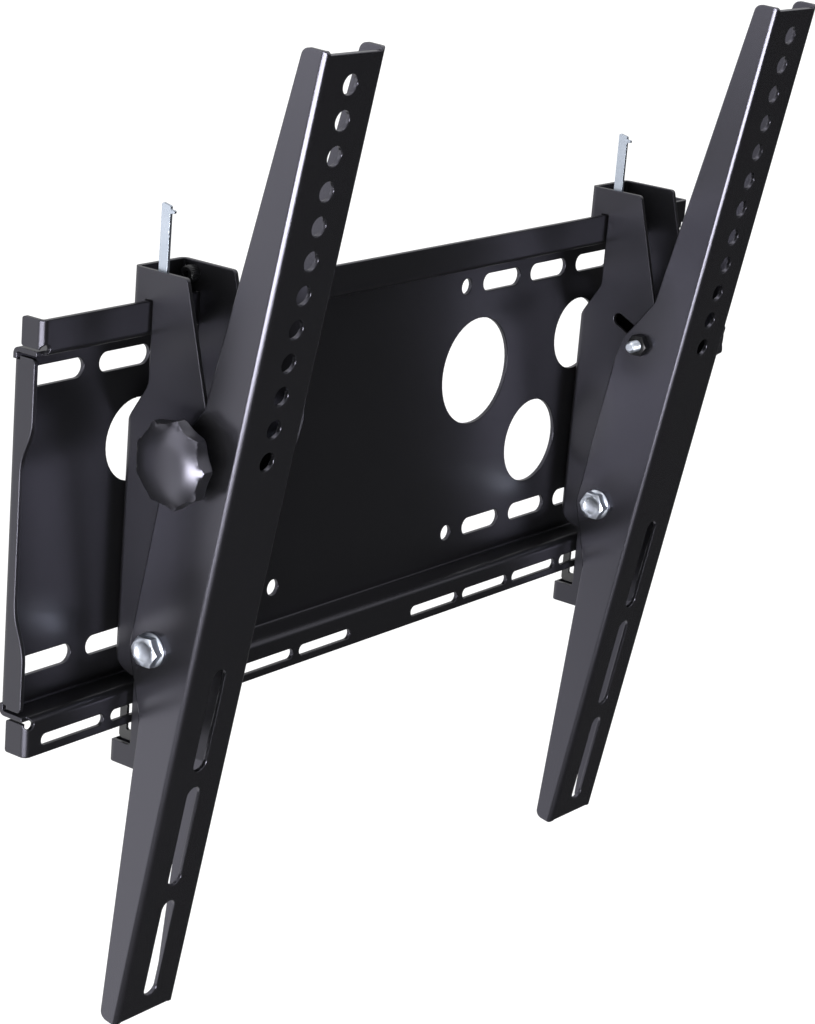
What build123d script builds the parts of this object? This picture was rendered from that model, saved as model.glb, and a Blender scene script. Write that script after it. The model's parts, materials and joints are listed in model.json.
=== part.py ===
from build123d import *

import os
from math import asin, cos, floor, radians, sin, sqrt, tan

# Tilting wall bracket for a television. A folded wall plate carries two hook brackets that slide
# along its rails, and each bracket carries a tilting arm that the television is bolted to.
# The origin is the middle of the wall plate's back face. X runs along the rails, Y into the
# wall and Z up. Lengths are millimetres, angles are degrees, and heights are measured from the
# wall plate's lower edge until up() turns them into Z.

# Wall plate, one folded sheet
PLATE_WIDTH = 480.0
PLATE_HEIGHT = 189.0
PLATE_SHEET = 2.0
PLATE_BEND = 1.0
RAIL_STANDOFF = 16.3
LOWER_RAIL_HEIGHT = 17.5
UPPER_RAIL_HEIGHT = 15.4
TAB_BACK = 4.3
TAB_CORNER = 1.2
RELIEF_RADIUS = 2.2

# Side flanges with their wavy front edge
FLANGE_WIDE = 12.3
FLANGE_NARROW = 6.5
FLANGE_GAP = 1.5
FLANGE_RELIEF = 1.6
FLANGE_LOWER_WIDE = 41.0
FLANGE_LOWER_NARROW = 66.0
FLANGE_UPPER_NARROW = 123.0
FLANGE_UPPER_WIDE = 146.0

# Openings of the wall plate
WALL_SLOT_LENGTH = 31.0
WALL_SLOT_WIDTH = 9.0
WALL_SLOT_PITCH = 40.0
WALL_SLOT_START = 95.8
WALL_SLOT_END_MARGIN = 6.0
LOWER_ROW_HEIGHT = 34.7
UPPER_ROW_HEIGHT = 161.2
PILOT_HOLE_DIAMETER = 8.0
PILOT_HOLE_X = 66.7
RAIL_SLOT_LENGTH = 38.0
RAIL_SLOT_WIDTH = 5.4
RAIL_SLOT_PITCH = 42.3
RAIL_SLOT_START = 42.6
RAIL_SLOT_HEIGHT = 6.1
RAIL_SLOT_END_MARGIN = 6.0
CABLE_OPENINGS = [(80.0, 116.7, 27.0), (133.1, 71.7, 21.7), (166.1, 123.9, 18.7)]

# Tilt: both bolts of an arm run in arc slots about one axis behind the wall plate
TILT_FORWARD = 10.3
PIVOT_STANDOFF = 30.0
PIVOT_HEIGHT = 38.8
STUD_REACH = 90.5
SLOT_SLOPE = 30.0

# Arms, one folded sheet each, measured along the arm from the pivot bolt
ARM_SHEET = 2.0
ARM_BEND = 0.8
ARM_WIDTH = 38.1
ARM_FACE_OFFSET = 24.7
ARM_TOP = 274.4
ARM_BOTTOM = 180.2
ARM_FLANGE_PROUD = 1.6
ARM_TOP_DEPTH = 12.2
ARM_EAR_TOP_DEPTH = 22.7
ARM_LOWER_DEPTH = 23.0
ARM_BOTTOM_DEPTH = 10.2
ARM_CORNER = 4.0
EAR_TOP = 114.5
EAR_SHOULDER = 91.0
EAR_BACK = 12.0
EAR_FOOT = 4.0
EAR_TOE = -34.0
ARM_HOLE_DIAMETER = 9.0
ARM_HOLE_PITCH = 15.0
ARM_HOLE_COUNT = 12
ARM_HOLE_TOP_MARGIN = 13.0
ARM_SLOT_LENGTH = 51.0
ARM_SLOT_WIDTH = 8.5
ARM_SLOT_PITCH = 59.0
ARM_SLOT_COUNT = 3
ARM_SLOT_BOTTOM_MARGIN = 8.7

# Hook brackets, one folded sheet each
BRACKET_SHEET = 2.0
BRACKET_BEND = 1.2
BRACKET_SIDE_GAP = 1.25
BRACKET_BACK_GAP = 3.3
BRACKET_FACE_GAP = 0.7
BRACKET_TOP_RISE = 13.2
BRACKET_TOP_DEPTH = 30.2
BRACKET_FRONT_LEAN = 15.3
BRACKET_CORNER = 4.0
BRACKET_LOWER_FRONT = 62.0
BRACKET_TOE_STANDOFF = 38.0
HOOK_SEAT_GAP = 0.2
HOOK_TIP_GAP = 2.9
RAIL_FRONT_GAP = 0.9
RAIL_BACK_GAP = 1.1
THROAT_DROP = 20.6
THROAT_LENGTH = 19.0
LOWER_NOTCH_GAP = 1.7
BODY_FOOT_GAP = 5.0
BODY_FOOT_RADIUS = 12.5
LOWER_TAB_DROP = 10.2
LOWER_TAB_HEIGHT = 10.1
LEFT_BRACKET_X = -161.2
RIGHT_BRACKET_X = 178.6

# Pivot bolts
PIVOT_DIAMETER = 8.0
PIVOT_HEAD_FLATS = 13.0
PIVOT_HEAD_HEIGHT = 5.3
PIVOT_HEAD_FLANGE = 15.6
PIVOT_HEAD_FLANGE_HEIGHT = 1.2
PIVOT_NUT_HEIGHT = 8.0
PIVOT_END = 2.0
PIVOT_WASHER_DIAMETER = 16.0
PIVOT_WASHER_THICKNESS = 1.6
SPACER_PLAY = 0.05

# Clamping knobs and studs
STUD_DIAMETER = 6.0
STUD_SLOT_PLAY = 0.25
STUD_END = 6.0
STUD_NUT_FLATS = 10.0
STUD_NUT_HEIGHT = 4.0
STUD_WASHER_DIAMETER = 18.0
STUD_WASHER_THICKNESS = 1.2
STUD_SPACER_DIAMETER = 12.0
KNOB_RADIUS = 19.6
KNOB_SCALLOPS = 9
KNOB_TURN = 22.0
KNOB_SCALLOP_RADIUS = 7.0
KNOB_SCALLOP_DEPTH = 3.8
KNOB_HUB_DIAMETER = 17.0
KNOB_HUB_HEIGHT = 6.8
KNOB_BODY_HEIGHT = 9.4
KNOB_CROWN = 1.4
KNOB_EDGE = 2.4
KNOB_RECESS_RADIUS = 13.4
KNOB_RECESS_DEPTH = 4.6
KNOB_STUD_DEPTH = 9.0

# Lock bars, flat strips that slide down to free the lower rail
LOCK_THICKNESS = 1.5
LOCK_WIDTH = 4.8
LOCK_SIDE_GAP = 0.2
LOCK_RAIL_GAP = 1.1
LOCK_RISE = 28.8
LOCK_TIP_FALL = 4.0
LOCK_TIP_SLOPE = 1.0
LOCK_FINGER = 2.2
LOCK_FINGER_HEIGHT = 1.4
LOCK_HOOK_DROP = 9.0
LOCK_HOOK_BAR = 4.5
LOCK_HOOK_LEG = 4.0
LOCK_HOOK_RISE = 8.0
KEEPER_HEIGHT = 8.0
KEEPER_SHEET = 1.2
KEEPER_FOOT = 5.0
KEEPER_PLAY = 0.3
KEEPER_LEVELS = [29.0, 112.0]

# Screw through the far plate of the left bracket, above the rail
HOOK_SCREW_DIAMETER = 4.0
HOOK_SCREW_HEAD_DIAMETER = 7.4
HOOK_SCREW_HEAD_HEIGHT = 5.0
HOOK_SCREW_NUT_FLATS = 7.0
HOOK_SCREW_NUT_HEIGHT = 3.0
HOOK_SCREW_STANDOFF = 13.0
HOOK_SCREW_RISE = 7.8
HOOK_SCREW_SOCKET = 3.0

# Fits and edges
HOLE_PLAY = 0.05
HEX_CHAMFER = 0.6
TIP_CHAMFER = 0.8
CUT = 1.0

HALF_WIDTH = PLATE_WIDTH / 2
UPPER_SHELF_TOP = PLATE_HEIGHT - UPPER_RAIL_HEIGHT + PLATE_SHEET
BRACKET_WIDTH = ARM_WIDTH - 2 * ARM_SHEET - 2 * BRACKET_SIDE_GAP
BRACKET_BACK = PLATE_SHEET + BRACKET_BACK_GAP
BRACKET_FRONT = PIVOT_STANDOFF + ARM_FACE_OFFSET - ARM_SHEET - BRACKET_FACE_GAP
BRACKET_TOP = PLATE_HEIGHT + BRACKET_TOP_RISE
BRACKET_BOTTOM = -LOWER_TAB_DROP - LOWER_TAB_HEIGHT


def up(height):
    """Z of a height above the wall plate's lower edge."""
    return height - PLATE_HEIGHT / 2


# The arm's motion between leaning forward and upright lifts the pivot bolt straight up, while the
# stud climbs a slot of mean slope SLOT_SLOPE. The axis of that turn follows from both.
LEAN = radians(TILT_FORWARD)
PIVOT_LIFT = STUD_REACH * (tan(radians(SLOT_SLOPE)) * sin(LEAN) - 1 + cos(LEAN))
AXIS_Y = PIVOT_LIFT / 2 / tan(LEAN / 2) - PIVOT_STANDOFF
AXIS_Z = up(PIVOT_HEIGHT) + PIVOT_LIFT / 2
PIVOT_Y = -PIVOT_STANDOFF
PIVOT_Z = up(PIVOT_HEIGHT)
STUD_Y = PIVOT_Y - STUD_REACH * sin(LEAN)
STUD_Z = PIVOT_Z + STUD_REACH * cos(LEAN)
ARM_UP = Vector(0, -sin(LEAN), cos(LEAN))
ARM_BACK = Vector(0, cos(LEAN), sin(LEAN))


def hexagon(flats):
    """Circumscribed radius of a hexagon from its width across flats."""
    return flats / sqrt(3)


def outline(corners):
    """Closed sketch outline from (x, y, corner radius) triples."""
    with BuildSketch() as shape:
        with BuildLine():
            FilletPolyline(*[(x, y) for x, y, _ in corners], radius=[r for _, _, r in corners], close=True)
        make_face()
    return shape.sketch


def side_flange(side):
    """Flange on one end of the wall plate, bent forward, with its wavy front edge."""
    low = LOWER_RAIL_HEIGHT + FLANGE_GAP
    high = PLATE_HEIGHT - UPPER_RAIL_HEIGHT - FLANGE_GAP
    middle = PLATE_SHEET / 2
    relief = PLATE_BEND + 1.5 * PLATE_SHEET
    end = side * (HALF_WIDTH - middle)
    with BuildPart() as flange:
        with BuildSketch(Plane.XY.offset(up(low))):
            with BuildLine():
                FilletPolyline(
                    (end - side * (PLATE_BEND + PLATE_SHEET), -middle),
                    (end, -middle),
                    (end, -FLANGE_WIDE),
                    radius=PLATE_BEND + middle,
                )
            trace(line_width=PLATE_SHEET)
        extrude(amount=high - low)
        with BuildSketch(Plane.YZ.offset(side * HALF_WIDTH)):
            with BuildLine():
                Line((-FLANGE_WIDE, up(FLANGE_LOWER_WIDE)), (-FLANGE_WIDE - CUT, up(FLANGE_LOWER_WIDE)))
                Line((-FLANGE_WIDE - CUT, up(FLANGE_LOWER_WIDE)), (-FLANGE_WIDE - CUT, up(FLANGE_UPPER_WIDE)))
                Line((-FLANGE_WIDE - CUT, up(FLANGE_UPPER_WIDE)), (-FLANGE_WIDE, up(FLANGE_UPPER_WIDE)))
                Spline(
                    (-FLANGE_WIDE, up(FLANGE_UPPER_WIDE)),
                    (-FLANGE_NARROW, up(FLANGE_UPPER_NARROW)),
                    tangents=((0, -1), (0, -1)),
                )
                Line((-FLANGE_NARROW, up(FLANGE_UPPER_NARROW)), (-FLANGE_NARROW, up(FLANGE_LOWER_NARROW)))
                Spline(
                    (-FLANGE_NARROW, up(FLANGE_LOWER_NARROW)),
                    (-FLANGE_WIDE, up(FLANGE_LOWER_WIDE)),
                    tangents=((0, -1), (0, -1)),
                )
            make_face()
        extrude(amount=PLATE_SHEET + CUT, both=True, mode=Mode.SUBTRACT)
        for level in (low + FLANGE_RELIEF / 2, high - FLANGE_RELIEF / 2):
            with Locations((end, (CUT - relief) / 2, up(level))):
                Box(4 * relief, relief + CUT, FLANGE_RELIEF, mode=Mode.SUBTRACT)
        ends = flange.edges().filter_by(Axis.X).filter_by(lambda edge: edge.center().Y < -FLANGE_WIDE + CUT)
        fillet(ends, radius=PLATE_SHEET)
    return flange.part


def rail_end(side, low, high):
    """Corner and tab at one end of a rail, bent back towards the wall, between two heights."""
    middle = PLATE_SHEET / 2
    end = side * (HALF_WIDTH - middle)
    start = end - side * 2 * (PLATE_BEND + PLATE_SHEET)
    with BuildPart() as tab:
        with BuildSketch(Plane.XY.offset(up(low))):
            with BuildLine():
                FilletPolyline(
                    (start, -RAIL_STANDOFF + middle),
                    (end, -RAIL_STANDOFF + middle),
                    (end, -TAB_BACK),
                    radius=PLATE_BEND + middle,
                )
            trace(line_width=PLATE_SHEET)
        extrude(amount=high - low)
        corners = tab.edges().filter_by(Axis.X).filter_by(lambda edge: edge.center().Y > -TAB_BACK - CUT / 2)
        fillet(corners, radius=TAB_CORNER)
    return tab.part


def copies(start, pitch, end_margin, length):
    """Distances from the middle of a row of slots that ends before the plate does."""
    room = HALF_WIDTH - PLATE_SHEET - end_margin - length / 2 - start
    return [start + pitch * index for index in range(floor(room / pitch + 1e-9) + 1)]


def make_wall_plate():
    """Wall plate: flat back, two rails on shelves, end tabs, side flanges and all its openings."""
    middle = PLATE_SHEET / 2
    bend = PLATE_BEND + PLATE_SHEET
    rail_y = -RAIL_STANDOFF + middle
    lower_shelf = up(LOWER_RAIL_HEIGHT - middle)
    upper_shelf = up(UPPER_SHELF_TOP - middle)
    lower_tab_top = LOWER_RAIL_HEIGHT - bend
    upper_tab_foot = UPPER_SHELF_TOP - PLATE_SHEET + bend
    with BuildPart() as plate:
        with BuildSketch(Plane.YZ.offset(-HALF_WIDTH)):
            with BuildLine():
                FilletPolyline(
                    (rail_y, up(0)),
                    (rail_y, lower_shelf),
                    (-middle, lower_shelf),
                    (-middle, upper_shelf),
                    (rail_y, upper_shelf),
                    (rail_y, up(PLATE_HEIGHT)),
                    radius=PLATE_BEND + middle,
                )
            trace(line_width=PLATE_SHEET)
        extrude(amount=PLATE_WIDTH)
        for side in (-1, 1):
            corner_x = side * (HALF_WIDTH - bend / 2 + CUT / 2)
            for low, high in ((-CUT, lower_tab_top + bend), (upper_tab_foot - bend, PLATE_HEIGHT + CUT)):
                with Locations((corner_x, -RAIL_STANDOFF, up((low + high) / 2))):
                    Box(bend + CUT, 2 * bend, high - low, mode=Mode.SUBTRACT)
            low = LOWER_RAIL_HEIGHT + FLANGE_GAP + FLANGE_RELIEF
            high = PLATE_HEIGHT - UPPER_RAIL_HEIGHT - FLANGE_GAP - FLANGE_RELIEF
            with Locations((corner_x, 0, up((low + high) / 2))):
                Box(bend + CUT, 2 * bend, high - low, mode=Mode.SUBTRACT)
            add(rail_end(side, 0, lower_tab_top))
            add(rail_end(side, upper_tab_foot, PLATE_HEIGHT))
            add(side_flange(side))
        with BuildSketch(Plane.XZ):
            slots = copies(WALL_SLOT_START, WALL_SLOT_PITCH, WALL_SLOT_END_MARGIN, WALL_SLOT_LENGTH)
            for height in (LOWER_ROW_HEIGHT, UPPER_ROW_HEIGHT):
                with Locations([(side * x, up(height)) for x in slots for side in (-1, 1)]):
                    SlotOverall(WALL_SLOT_LENGTH, WALL_SLOT_WIDTH)
                with Locations((-PILOT_HOLE_X, up(height)), (PILOT_HOLE_X, up(height))):
                    Circle(PILOT_HOLE_DIAMETER / 2)
            for x, height, radius in CABLE_OPENINGS:
                with Locations((-x, up(height)), (x, up(height))):
                    Circle(radius)
        extrude(amount=PLATE_SHEET + CUT, both=True, mode=Mode.SUBTRACT)
        with BuildSketch(Plane.XZ.offset(RAIL_STANDOFF)):
            slots = copies(RAIL_SLOT_START, RAIL_SLOT_PITCH, RAIL_SLOT_END_MARGIN, RAIL_SLOT_LENGTH)
            with Locations([(side * x, up(RAIL_SLOT_HEIGHT)) for x in slots for side in (-1, 1)]):
                SlotOverall(RAIL_SLOT_LENGTH, RAIL_SLOT_WIDTH)
            relief_x = HALF_WIDTH - PLATE_SHEET - PLATE_BEND / 2
            for height in (lower_tab_top, upper_tab_foot):
                with Locations((-relief_x, up(height)), (relief_x, up(height))):
                    Circle(RELIEF_RADIUS)
        extrude(amount=-PLATE_SHEET - CUT, mode=Mode.SUBTRACT)
    plate.part.label = "wall_plate"
    return plate.part


def channel(center_x, width, sheet, bend, low, high, back):
    """Channel of folded sheet that opens forward: web at the back, plates on both sides."""
    reach = sheet / 2
    left = center_x - width / 2 + reach
    right = center_x + width / 2 - reach
    with BuildPart() as shape:
        with BuildSketch(Plane.XY.offset(up(low))):
            with BuildLine():
                FilletPolyline(
                    (left, -BRACKET_FRONT - CUT),
                    (left, -back - reach),
                    (right, -back - reach),
                    (right, -BRACKET_FRONT - CUT),
                    radius=bend + reach,
                )
            trace(line_width=sheet)
        extrude(amount=high - low)
    return shape.part


def bracket_outline():
    """Side view of a hook bracket as (y, z, corner radius) triples."""
    throat_top = PLATE_HEIGHT - UPPER_RAIL_HEIGHT - THROAT_DROP
    rail_front = RAIL_STANDOFF + RAIL_FRONT_GAP
    rail_back = RAIL_STANDOFF - PLATE_SHEET - RAIL_BACK_GAP
    lower_notch = RAIL_STANDOFF + LOWER_NOTCH_GAP
    lean_drop = (BRACKET_FRONT - BRACKET_BACK - BRACKET_TOP_DEPTH) / tan(radians(BRACKET_FRONT_LEAN))
    hook_tip = UPPER_SHELF_TOP + HOOK_TIP_GAP
    small = BRACKET_CORNER / 2
    return [
        (-BRACKET_BACK, up(BRACKET_TOP), 0),
        (-BRACKET_BACK - BRACKET_TOP_DEPTH, up(BRACKET_TOP), BRACKET_CORNER / 2),
        (-BRACKET_FRONT, up(BRACKET_TOP - lean_drop), 3 * BRACKET_CORNER),
        (-BRACKET_FRONT, up(BRACKET_LOWER_FRONT), 5 * BRACKET_CORNER),
        (-BRACKET_TOE_STANDOFF, up(BRACKET_BOTTOM), BRACKET_CORNER),
        (-BRACKET_BACK, up(BRACKET_BOTTOM), small),
        (-BRACKET_BACK, up(-LOWER_TAB_DROP), small),
        (-lower_notch, up(-LOWER_TAB_DROP), small),
        (-lower_notch, up(LOWER_RAIL_HEIGHT + BODY_FOOT_GAP), 0),
        (-BRACKET_BACK, up(LOWER_RAIL_HEIGHT + BODY_FOOT_GAP), BODY_FOOT_RADIUS),
        (-BRACKET_BACK, up(throat_top - THROAT_LENGTH), 2 * BRACKET_CORNER),
        (-rail_front, up(throat_top), 2 * BRACKET_CORNER),
        (-rail_front, up(PLATE_HEIGHT + HOOK_SEAT_GAP), 0),
        (-rail_back, up(PLATE_HEIGHT + HOOK_SEAT_GAP), 0),
        (-rail_back, up(hook_tip), small),
        (-BRACKET_BACK, up(hook_tip), 0),
    ]


def arc_slot(y, z, diameter):
    """Slot cut that a bolt at (y, z) sweeps about the tilt axis from leaning to upright."""
    with BuildSketch() as slot:
        with BuildLine():
            ThreePointArc(
                (y, z),
                turned(y, z, TILT_FORWARD / 2),
                turned(y, z, TILT_FORWARD),
            )
        trace(line_width=diameter)
        with Locations((y, z), turned(y, z, TILT_FORWARD)):
            Circle(diameter / 2)
    return slot.sketch


def turned(y, z, angle):
    """Place of a point of the arm in side view after the arm has turned upright by an angle."""
    turn = radians(angle)
    across = y - AXIS_Y
    above = z - AXIS_Z
    return (
        AXIS_Y + across * cos(turn) + above * sin(turn),
        AXIS_Z - across * sin(turn) + above * cos(turn),
    )


def make_hook_bracket(name, center_x, has_hook_screw):
    """Hook bracket: folded channel cut to its side outline, with two arc slots."""
    with BuildPart() as bracket:
        add(
            channel(
                center_x,
                BRACKET_WIDTH,
                BRACKET_SHEET,
                BRACKET_BEND,
                BRACKET_BOTTOM - CUT,
                BRACKET_TOP + CUT,
                BRACKET_BACK,
            )
        )
        with BuildSketch(Plane.YZ.offset(center_x)):
            add(outline(bracket_outline()))
        extrude(amount=BRACKET_WIDTH, both=True, mode=Mode.INTERSECT)
        with BuildSketch(Plane.YZ.offset(center_x)):
            add(arc_slot(PIVOT_Y, PIVOT_Z, PIVOT_DIAMETER + 2 * HOLE_PLAY))
            add(arc_slot(STUD_Y, STUD_Z, STUD_DIAMETER + 2 * STUD_SLOT_PLAY))
        extrude(amount=BRACKET_WIDTH, both=True, mode=Mode.SUBTRACT)
        if has_hook_screw:
            with BuildSketch(Plane.YZ.offset(center_x)):
                with Locations((-HOOK_SCREW_STANDOFF, up(PLATE_HEIGHT + HOOK_SCREW_RISE))):
                    Circle(HOOK_SCREW_DIAMETER / 2 + HOLE_PLAY)
            extrude(amount=BRACKET_WIDTH, mode=Mode.SUBTRACT)
    bracket.part.label = name
    return bracket.part


def arm_plane(center_x, along=0.0):
    """Section plane of an arm: x across, y towards the wall, at a distance along the arm."""
    origin = Vector(center_x, PIVOT_Y, PIVOT_Z) + ARM_UP * along
    return Plane(origin=origin, x_dir=(1, 0, 0), z_dir=ARM_UP)


def arm_side_plane(x):
    """Side view plane of an arm: x towards the wall, y along the arm, looking from +X."""
    return Plane(origin=(x, PIVOT_Y, PIVOT_Z), x_dir=ARM_BACK, z_dir=(1, 0, 0))


def arm_outline():
    """Side view of an arm as (towards the wall, along, corner radius) triples."""
    face = -ARM_FACE_OFFSET
    top = ARM_TOP + ARM_FLANGE_PROUD
    bottom = -ARM_BOTTOM - ARM_FLANGE_PROUD
    return [
        (face, bottom, ARM_CORNER / 2),
        (face, top, ARM_CORNER / 2),
        (face + ARM_TOP_DEPTH, top - ARM_FLANGE_PROUD, ARM_CORNER),
        (face + ARM_EAR_TOP_DEPTH, EAR_TOP, ARM_CORNER),
        (EAR_BACK - ARM_CORNER / 2, EAR_SHOULDER, 2 * ARM_CORNER),
        (EAR_BACK, EAR_SHOULDER - 3 * ARM_CORNER, 2 * ARM_CORNER),
        (EAR_BACK, -EAR_FOOT, 3 * ARM_CORNER),
        (face + ARM_LOWER_DEPTH, EAR_TOE, 6 * ARM_CORNER),
        (face + ARM_BOTTOM_DEPTH, bottom, ARM_CORNER),
    ]


def make_arm(name, center_x):
    """Arm: folded channel that leans forward, with its row of holes, slots and bolt holes."""
    middle = ARM_SHEET / 2
    side = ARM_WIDTH / 2 - middle
    length = ARM_TOP + ARM_BOTTOM + 4 * ARM_FLANGE_PROUD
    start = -ARM_BOTTOM - 2 * ARM_FLANGE_PROUD
    bend = ARM_BEND + ARM_SHEET
    with BuildPart() as arm:
        with BuildSketch(arm_plane(center_x, start)):
            with BuildLine():
                FilletPolyline(
                    (-side, EAR_BACK + CUT),
                    (-side, -ARM_FACE_OFFSET + middle),
                    (side, -ARM_FACE_OFFSET + middle),
                    (side, EAR_BACK + CUT),
                    radius=ARM_BEND + middle,
                )
            trace(line_width=ARM_SHEET)
        extrude(amount=length)
        with BuildSketch(arm_side_plane(center_x)):
            add(outline(arm_outline()))
        extrude(amount=ARM_WIDTH, both=True, mode=Mode.INTERSECT)
        for end in (-ARM_BOTTOM - ARM_FLANGE_PROUD, ARM_TOP):
            with BuildSketch(arm_plane(center_x, end)):
                with Locations((0, -ARM_FACE_OFFSET + bend / 2)):
                    Rectangle(ARM_WIDTH - 2 * bend, bend + 2 * CUT)
            extrude(amount=ARM_FLANGE_PROUD, mode=Mode.SUBTRACT)
        face = Plane(
            origin=Vector(center_x, PIVOT_Y, PIVOT_Z) - ARM_BACK * ARM_FACE_OFFSET,
            x_dir=(1, 0, 0),
            z_dir=-ARM_BACK,
        )
        first_hole = ARM_TOP - ARM_HOLE_TOP_MARGIN
        first_slot = ARM_SLOT_BOTTOM_MARGIN + ARM_SLOT_LENGTH / 2 - ARM_BOTTOM
        with BuildSketch(face):
            with Locations([(0, first_hole - ARM_HOLE_PITCH * index) for index in range(ARM_HOLE_COUNT)]):
                Circle(ARM_HOLE_DIAMETER / 2)
            with Locations([(0, first_slot + ARM_SLOT_PITCH * index) for index in range(ARM_SLOT_COUNT)]):
                SlotOverall(ARM_SLOT_LENGTH, ARM_SLOT_WIDTH, rotation=90)
        extrude(amount=-ARM_SHEET - CUT, mode=Mode.SUBTRACT)
        with BuildSketch(arm_side_plane(center_x)):
            Circle(PIVOT_DIAMETER / 2 + HOLE_PLAY)
            with Locations((0, STUD_REACH)):
                Circle(STUD_DIAMETER / 2 + HOLE_PLAY)
        extrude(amount=ARM_WIDTH, both=True, mode=Mode.SUBTRACT)
    arm.part.label = name
    return arm.part


def cross_plane(x, y, z, side):
    """Plane across a bolt that points along X, with its normal towards -X or +X."""
    return Plane(origin=(x, y, z), x_dir=(0, side, 0), z_dir=(side, 0, 0))


def hex_block(plane, flats, height, bore, ends):
    """Hexagon with one or both ends chamfered, bored through when it is a nut."""
    corner = hexagon(flats)
    with BuildPart() as limit:
        with BuildSketch(plane):
            Circle(corner)
        extrude(amount=height)
        rims = limit.edges().filter_by(GeomType.CIRCLE).sort_by(lambda edge: plane.to_local_coords(edge.center()).Z)
        chamfer(rims[-1:] if ends == 1 else rims, length=HEX_CHAMFER, length2=corner - flats / 2)
    with BuildPart() as block:
        with BuildSketch(plane):
            RegularPolygon(corner, 6)
            if bore:
                Circle(bore, mode=Mode.SUBTRACT)
        extrude(amount=height)
        add(limit.part, mode=Mode.INTERSECT)
    return block.part


def rings(name, places, radius, bore, thickness):
    """Flat rings as one group: one on each plane of places."""
    with BuildPart() as group:
        for plane in places:
            with BuildSketch(plane):
                Circle(radius)
                Circle(bore, mode=Mode.SUBTRACT)
            extrude(amount=thickness)
    group.part.label = name
    return group.part


def make_pivot_bolt(name, center_x):
    """Pivot bolt: flanged hexagon head on the left, shank through arm and bracket."""
    head = cross_plane(center_x - ARM_WIDTH / 2, PIVOT_Y, PIVOT_Z, -1)
    length = ARM_WIDTH + PIVOT_WASHER_THICKNESS + PIVOT_NUT_HEIGHT + PIVOT_END
    with BuildPart() as bolt:
        add(hex_block(head, PIVOT_HEAD_FLATS, PIVOT_HEAD_HEIGHT, 0, 1))
        with BuildSketch(head):
            Circle(PIVOT_HEAD_FLANGE / 2)
        extrude(amount=PIVOT_HEAD_FLANGE_HEIGHT)
        with BuildSketch(head):
            Circle(PIVOT_DIAMETER / 2)
        extrude(amount=-length)
        tip = bolt.edges().filter_by(GeomType.CIRCLE).sort_by(Axis.X)[-1]
        chamfer(tip, length=TIP_CHAMFER)
    bolt.part.label = name
    return bolt.part


def make_pivot_nut(name, center_x):
    """Locking nut on the pivot bolt: hexagon with a round collar."""
    seat = cross_plane(center_x + ARM_WIDTH / 2 + PIVOT_WASHER_THICKNESS, PIVOT_Y, PIVOT_Z, 1)
    bore = PIVOT_DIAMETER / 2 + HOLE_PLAY
    hexagon_height = PIVOT_NUT_HEIGHT * 0.75
    with BuildPart() as nut:
        add(hex_block(seat, PIVOT_HEAD_FLATS, hexagon_height, bore, 2))
        with BuildSketch(seat.offset(hexagon_height - TIP_CHAMFER)):
            Circle(PIVOT_HEAD_FLATS / 2 - TIP_CHAMFER)
            Circle(bore, mode=Mode.SUBTRACT)
        extrude(amount=PIVOT_NUT_HEIGHT - hexagon_height + TIP_CHAMFER)
        rim = nut.edges().filter_by(GeomType.CIRCLE).group_by(Axis.X)[-1].sort_by(SortBy.LENGTH)[-1]
        chamfer(rim, length=TIP_CHAMFER)
    nut.part.label = name
    return nut.part


def make_stud(name, center_x, side):
    """Stud fixed in the knob: it crosses arm and bracket and ends beyond the stud nut."""
    start = cross_plane(center_x + side * ARM_WIDTH / 2, STUD_Y, STUD_Z, side)
    inside = STUD_WASHER_THICKNESS + KNOB_STUD_DEPTH
    outside = ARM_WIDTH + STUD_NUT_HEIGHT + STUD_END
    with BuildPart() as stud:
        with BuildSketch(start.offset(inside)):
            Circle(STUD_DIAMETER / 2)
        extrude(amount=-inside - outside)
        tips = stud.edges().filter_by(GeomType.CIRCLE)
        chamfer(tips, length=TIP_CHAMFER)
    stud.part.label = name
    return stud.part


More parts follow.
